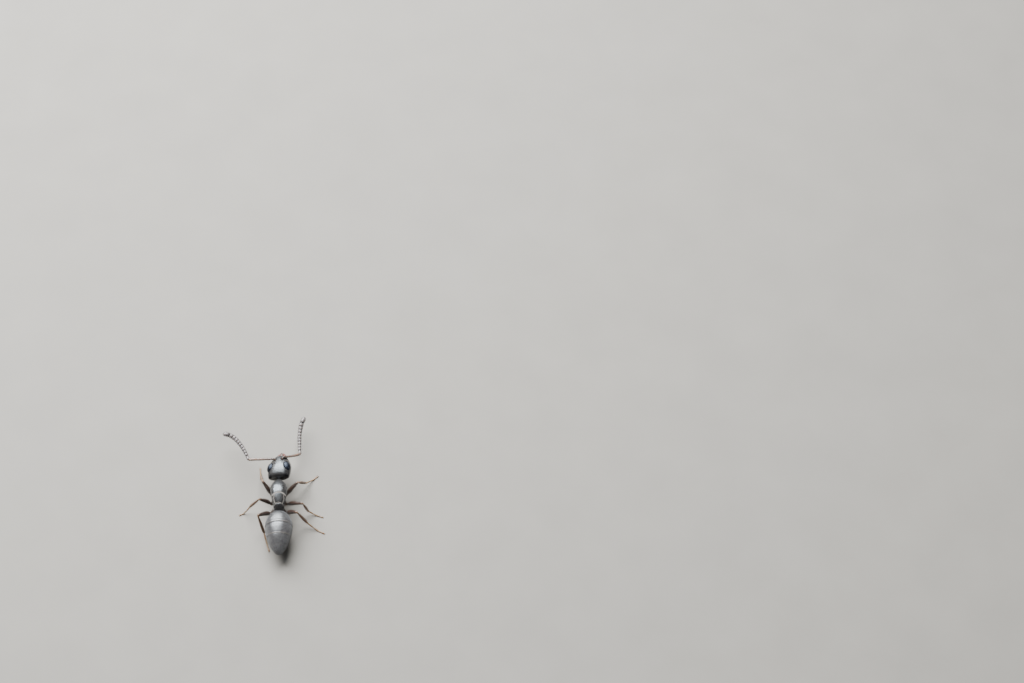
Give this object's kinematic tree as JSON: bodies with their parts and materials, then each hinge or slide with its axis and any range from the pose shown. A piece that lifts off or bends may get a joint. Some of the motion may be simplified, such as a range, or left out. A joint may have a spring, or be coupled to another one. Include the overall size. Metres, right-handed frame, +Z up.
{
  "type": "odorous house ant",
  "caption": "Life-size worker of a small dark ant standing on its feet, feelers raised, with its gaster hanging over a hidden low waist.",
  "frame": {"origin": "on the floor, at the bottom centre of the box round the whole ant", "axes": "+Y the way the ant faces, from gaster to jaws, +X to its right side, +Z up from the floor"},
  "size_m": [0.0028, 0.0044, 0.0009],
  "materials": {
    "head_cuticle": "satin",
    "eye": "gloss",
    "mandible": "gloss",
    "mouthparts": "satin",
    "scape": "satin",
    "funiculus": "matt, finely haired",
    "thorax_cuticle": "satin",
    "gaster_cuticle": "satin, finely haired",
    "femur": "satin",
    "tibia": "satin",
    "tarsus": "satin"
  },
  "bodies": {
    "root": {"coxa_fore_left": "femur", "coxa_fore_right": "femur", "coxa_hind_left": "femur", "coxa_hind_right": "femur", "coxa_mid_left": "femur", "coxa_mid_right": "femur", "eye_left": "eye", "eye_right": "eye", "femur_fore_left": "femur", "femur_fore_right": "femur", "femur_hind_left": "femur", "femur_hind_right": "femur", "femur_mid_left": "femur", "femur_mid_right": "femur", "funiculus_base_left": "funiculus", "funiculus_base_right": "funiculus", "funiculus_tip_left": "funiculus", "funiculus_tip_right": "funiculus", "gaster_1": "gaster_cuticle", "gaster_2": "gaster_cuticle", "gaster_3": "gaster_cuticle", "gaster_4": "gaster_cuticle", "head": "head_cuticle", "mandible_left": "mandible", "mandible_right": "mandible", "mesothorax": "thorax_cuticle", "mouthparts": "mouthparts", "petiole": "thorax_cuticle", "pronotum": "thorax_cuticle", "propodeum": "thorax_cuticle", "scape_left": "scape", "scape_right": "scape", "tarsus_fore_left": "tarsus", "tarsus_fore_right": "tarsus", "tarsus_hind_left": "tarsus", "tarsus_hind_right": "tarsus", "tarsus_mid_left": "tarsus", "tarsus_mid_right": "tarsus", "tibia_fore_left": "tibia", "tibia_fore_right": "tibia", "tibia_hind_left": "tibia", "tibia_hind_right": "tibia", "tibia_mid_left": "tibia", "tibia_mid_right": "tibia"}
  },
  "joints": []
}
